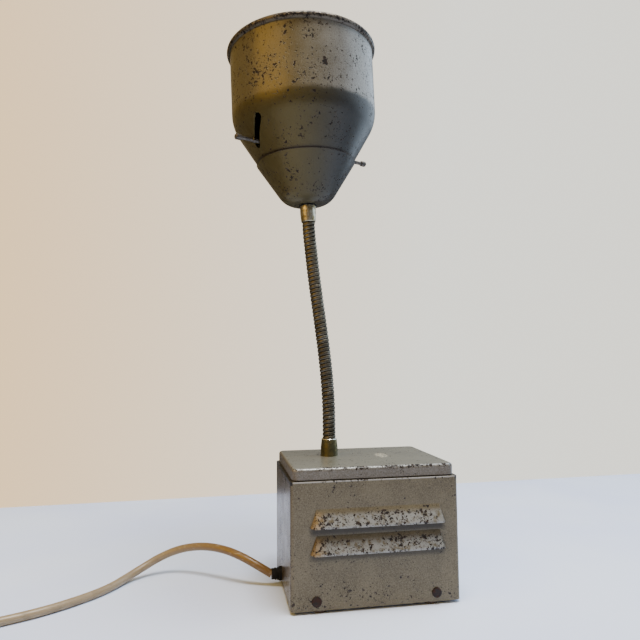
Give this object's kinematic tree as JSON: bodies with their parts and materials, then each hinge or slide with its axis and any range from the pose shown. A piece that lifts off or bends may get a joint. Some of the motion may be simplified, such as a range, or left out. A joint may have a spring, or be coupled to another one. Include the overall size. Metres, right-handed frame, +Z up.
{
  "type": "gooseneck bench spotlight",
  "caption": "Bench spotlight: louvred steel transformer box, flexible gooseneck and a spun bell-shaped shade with focusing pins in helical slots.",
  "frame": {"origin": "on the table, straight under the foot of the neck, which is the middle of the lamp's plan", "axes": "+Z up; +X to the right along the louvred front; the louvred front faces -Y"},
  "size_m": [0.4402, 0.2268, 0.4946],
  "materials": {
    "case_paint": "semi-gloss hammered taupe paint with rust chips",
    "shade_paint": "semi-gloss hammered grey-beige paint with rust chips",
    "black_rubber": "matt",
    "brown_rubber": "matt",
    "zinc_steel": "zinc plated",
    "rusty_steel": "rusted",
    "laminated_steel": "stacked laminations, varnished",
    "card": "resin-bonded board",
    "varnished_wire": "enamelled copper wire, close wound",
    "bakelite": "dark brown moulding",
    "brass": "turned",
    "aged_brass": "tarnished, bright at the edge",
    "nickel": "worn nickel over brass",
    "wire_insulation": "soft insulation",
    "cord_sheath": "yellowed flexible sheath",
    "plug_plastic": "yellowed moulding",
    "plated_brass": "nickel plated",
    "bright_aluminium": "polished inside",
    "carriage_aluminium": "turned",
    "spring_steel": "drawn wire",
    "pin_steel": "tarnished",
    "hose_steel": "wound strip, tarnished",
    "bulb_glass": "clear",
    "tungsten": "wire on a glass bead"
  },
  "bodies": {
    "base": {"base_nuts": "zinc_steel", "base_plate": "case_paint", "base_screws": "rusty_steel", "bobbin": "card", "cable_gland": "black_rubber", "cord_coil": "cord_sheath", "foot_nuts": "zinc_steel", "foot_screws": "zinc_steel", "housing": "case_paint", "lamp_wires": "wire_insulation", "lid_gasket": "black_rubber", "lid_screws": "zinc_steel", "mains_cord": "cord_sheath", "mains_cord_inside": "cord_sheath", "mains_cord_tail": "cord_sheath", "mains_wires": "wire_insulation", "neck_base_ferrule": "aged_brass", "neck_nut": "brass", "neck_washer": "zinc_steel", "plug_body": "plug_plastic", "plug_pins": "plated_brass", "primary_winding": "varnished_wire", "primary_wires": "wire_insulation", "rubber_feet": "brown_rubber", "secondary_winding": "varnished_wire", "terminal_block": "bakelite", "terminal_clamps": "brass", "terminal_screws": "zinc_steel", "top_lid": "case_paint", "transformer_core": "laminated_steel", "transformer_screws": "zinc_steel", "transformer_strap": "zinc_steel", "neck_hose_foot": "hose_steel"},
    "hose_01": {"neck_hose_01": "hose_steel"},
    "hose_02": {"neck_hose_02": "hose_steel"},
    "hose_03": {"neck_hose_03": "hose_steel"},
    "hose_04": {"neck_hose_04": "hose_steel"},
    "hose_05": {"neck_hose_05": "hose_steel"},
    "hose_06": {"neck_hose_06": "hose_steel"},
    "hose_07": {"neck_hose_07": "hose_steel"},
    "hose_08": {"neck_hose_08": "hose_steel"},
    "hose_09": {"neck_hose_09": "hose_steel"},
    "head": {"neck_hose_tip": "hose_steel", "neck_top_ferrule": "nickel", "cup_washer": "black_rubber", "head_nut": "brass", "head_cup": "shade_paint", "head_shell": "shade_paint", "reflector": "bright_aluminium", "reflector_brackets": "zinc_steel", "reflector_ring": "spring_steel", "guide_tube": "brass"},
    "carriage": {"focus_carriage": "carriage_aluminium", "lampholder": "nickel", "bulb_cap": "nickel", "bulb_glass": "bulb_glass", "bulb_filament": "tungsten"},
    "focus_collar": {"focus_ring": "brass", "focus_pins": "pin_steel", "pin_knobs": "pin_steel"}
  },
  "joints": [
    {"name": "neck_side_1", "type": "hinge", "parent": "base", "child": "hose_01", "pos_m": [0, 0, 0.13753], "axis": [0, 1, 0], "range_deg": [-18, 18]},
    {"name": "neck_fore_1", "type": "hinge", "parent": "hose_01", "child": "hose_02", "pos_m": [-0.0002, 0, 0.15757], "axis": [0.9995, 0, 0.0314], "range_deg": [-18, 18]},
    {"name": "neck_side_2", "type": "hinge", "parent": "hose_02", "child": "hose_03", "pos_m": [-0.00126, 0, 0.17763], "axis": [0, 1, 0], "range_deg": [-18, 18]},
    {"name": "neck_fore_2", "type": "hinge", "parent": "hose_03", "child": "hose_04", "pos_m": [-0.00304, 0, 0.19767], "axis": [0.9949, 0, 0.1007], "range_deg": [-18, 18]},
    {"name": "neck_side_3", "type": "hinge", "parent": "hose_04", "child": "hose_05", "pos_m": [-0.00532, 0, 0.21773], "axis": [0, 1, 0], "range_deg": [-18, 18]},
    {"name": "neck_fore_3", "type": "hinge", "parent": "hose_05", "child": "hose_06", "pos_m": [-0.00789, 0, 0.23777], "axis": [0.9916, 0, 0.1292], "range_deg": [-18, 18]},
    {"name": "neck_side_4", "type": "hinge", "parent": "hose_06", "child": "hose_07", "pos_m": [-0.01054, 0, 0.25783], "axis": [0, 1, 0], "range_deg": [-18, 18]},
    {"name": "neck_fore_4", "type": "hinge", "parent": "hose_07", "child": "hose_08", "pos_m": [-0.01306, 0, 0.27787], "axis": [0.9933, 0, 0.1158], "range_deg": [-18, 18]},
    {"name": "neck_side_5", "type": "hinge", "parent": "hose_08", "child": "hose_09", "pos_m": [-0.01522, 0, 0.29792], "axis": [0, 1, 0], "range_deg": [-18, 18]},
    {"name": "neck_fore_5", "type": "hinge", "parent": "hose_09", "child": "head", "pos_m": [-0.01734, 0, 0.31799], "axis": [0.9945, 0, 0.105], "range_deg": [-18, 18]},
    {"name": "focus_slide", "type": "slide", "parent": "head", "child": "carriage", "axis": [-0.037, 0, 0.9993], "range_m": [-0.0015, 0.015]},
    {"name": "focus_turn", "type": "hinge", "parent": "carriage", "child": "focus_collar", "pos_m": [-0.02022, 0, 0.39596], "axis": [-0.037, 0, 0.9993], "range_deg": [-1.41, 14.02]}
  ],
  "couplings": [
    {"joint": "focus_turn", "follows": "focus_slide", "rad_per_m": 16.301}
  ]
}
